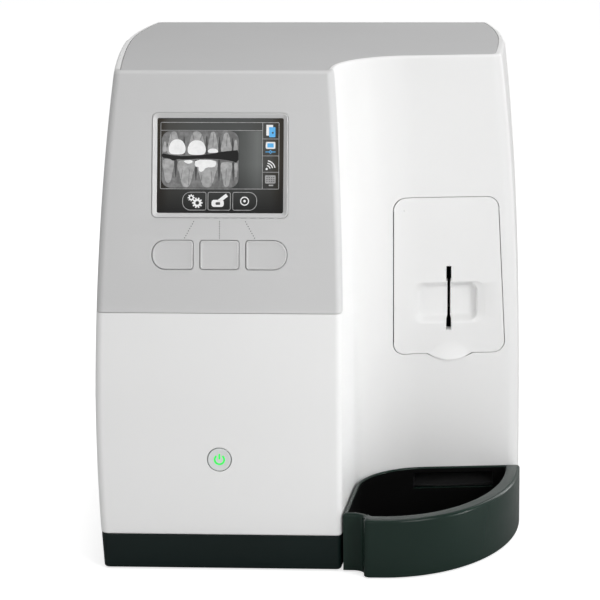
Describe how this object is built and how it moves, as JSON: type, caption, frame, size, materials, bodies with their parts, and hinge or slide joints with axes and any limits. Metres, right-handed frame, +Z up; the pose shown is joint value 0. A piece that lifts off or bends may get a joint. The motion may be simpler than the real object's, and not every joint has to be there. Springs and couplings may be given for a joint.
{
  "type": "phosphor plate scanner",
  "caption": "Desktop plate scanner with a leaning screen panel, a side cove with a slotted flap door, and a catch tray in front of the cove.",
  "frame": {"origin": "under the middle of the bounding box, on the surface that the feet stand on", "axes": "+X to the right of someone facing the front, +Y to the back, +Z up"},
  "size_m": [0.382, 0.3918, 0.43],
  "materials": {
    "shell_white": "satin",
    "panel_grey": "satin",
    "lid_grey": "matte",
    "base_green": "satin",
    "tray_green": "gloss",
    "screen_glass": "gloss",
    "black_plastic": "matte",
    "rubber": "matte",
    "steel": "brushed",
    "dark_steel": "satin",
    "board_green": "matte",
    "clear_white": "gloss",
    "guide_grey": "matte"
  },
  "bodies": {
    "cabinet": {"front_housing": "shell_white", "rear_cover": "shell_white", "control_panel": "panel_grey", "display_bezel": "panel_grey", "top_cover": "lid_grey", "base": "base_green", "display_window": "screen_glass", "power_inlet": "black_plastic", "power_switch_frame": "black_plastic", "network_port": "black_plastic", "fan_frame": "black_plastic", "scan_head": "black_plastic", "foot_front_left": "rubber", "foot_front_right": "rubber", "foot_rear_left": "rubber", "foot_rear_right": "rubber", "drive_belt": "rubber", "chassis_frame": "steel", "door_pin_left": "steel", "door_pin_right": "steel", "display_module": "dark_steel", "transport_frame": "dark_steel", "transport_motor": "dark_steel", "photomultiplier": "dark_steel", "laser_module": "dark_steel", "mirror_motor": "dark_steel", "power_supply": "dark_steel", "rear_screw_1": "dark_steel", "rear_screw_2": "dark_steel", "rear_screw_3": "dark_steel", "rear_screw_4": "dark_steel", "keypad_board": "board_green", "power_button_board": "board_green", "main_board": "board_green", "eraser_lamp": "clear_white", "guide_left": "guide_grey", "guide_right": "guide_grey", "plate_chute": "guide_grey"},
    "door": {"access_door": "shell_white"},
    "tray": {"collection_tray": "tray_green"},
    "left_key": {"key_left": "panel_grey"},
    "middle_key": {"key_middle": "panel_grey"},
    "right_key": {"key_right": "panel_grey"},
    "start_button": {"power_button": "clear_white"},
    "rocker": {"power_switch_rocker": "black_plastic"},
    "fan": {"fan_rotor": "dark_steel"},
    "front_drive": {"drive_roller_front": "rubber", "roller_pulley_front": "black_plastic"},
    "rear_drive": {"drive_roller_rear": "rubber", "roller_pulley_rear": "black_plastic"},
    "front_pinch": {"pinch_roller_front": "rubber"},
    "rear_pinch": {"pinch_roller_rear": "rubber"},
    "motor_wheel": {"motor_pulley": "black_plastic"},
    "polygon": {"polygon_mirror": "steel"}
  },
  "joints": [
    {"name": "door_swing", "type": "hinge", "parent": "cabinet", "child": "door", "pos_m": [0.076, -0.03532, 0.291], "axis": [-0.9904, -0.1384, 0], "range_deg": [0, 85]},
    {"name": "tray_pull", "type": "slide", "parent": "cabinet", "child": "tray", "axis": [0, -1, 0], "range_m": [0, 0.045]},
    {"name": "left_key_press", "type": "slide", "parent": "cabinet", "child": "left_key", "axis": [0, 0.9793, -0.2023], "range_m": [0, 0.001], "stiffness_N_per_m": 800},
    {"name": "middle_key_press", "type": "slide", "parent": "cabinet", "child": "middle_key", "axis": [0, 0.9793, -0.2023], "range_m": [0, 0.001], "stiffness_N_per_m": 800},
    {"name": "right_key_press", "type": "slide", "parent": "cabinet", "child": "right_key", "axis": [0, 0.9793, -0.2023], "range_m": [0, 0.001], "stiffness_N_per_m": 800},
    {"name": "start_press", "type": "slide", "parent": "cabinet", "child": "start_button", "axis": [0, 1, 0], "range_m": [0, 0.0015], "stiffness_N_per_m": 800},
    {"name": "rocker_tilt", "type": "hinge", "parent": "cabinet", "child": "rocker", "pos_m": [-0.095, 0.1925, 0.098], "axis": [-1, 0, 0], "range_deg": [0, 16]},
    {"name": "fan_spin", "type": "hinge", "parent": "cabinet", "child": "fan", "pos_m": [0.12, 0.183, 0.33], "axis": [0, 1, 0], "continuous": true},
    {"name": "front_drive_spin", "type": "hinge", "parent": "cabinet", "child": "front_drive", "pos_m": [0.1164, 0.023, 0.21], "axis": [0, 0, 1], "continuous": true},
    {"name": "rear_drive_spin", "type": "hinge", "parent": "cabinet", "child": "rear_drive", "pos_m": [0.1164, 0.085, 0.21], "axis": [0, 0, 1], "continuous": true},
    {"name": "front_pinch_spin", "type": "hinge", "parent": "cabinet", "child": "front_pinch", "pos_m": [0.1316, 0.023, 0.21], "axis": [0, 0, 1], "continuous": true},
    {"name": "rear_pinch_spin", "type": "hinge", "parent": "cabinet", "child": "rear_pinch", "pos_m": [0.1316, 0.085, 0.21], "axis": [0, 0, 1], "continuous": true},
    {"name": "motor_spin", "type": "hinge", "parent": "cabinet", "child": "motor_wheel", "pos_m": [0.084, 0.054, 0.262], "axis": [0, 0, 1], "continuous": true},
    {"name": "polygon_spin", "type": "hinge", "parent": "cabinet", "child": "polygon", "pos_m": [0.145, 0.054, 0.271], "axis": [0, 0, 1], "continuous": true}
  ],
  "couplings": [
    {"joint": "rear_drive_spin", "follows": "front_drive_spin", "ratio": 1},
    {"joint": "front_pinch_spin", "follows": "front_drive_spin", "ratio": -1.3333},
    {"joint": "rear_pinch_spin", "follows": "front_drive_spin", "ratio": -1.3333},
    {"joint": "motor_spin", "follows": "front_drive_spin", "ratio": 1.2857}
  ]
}
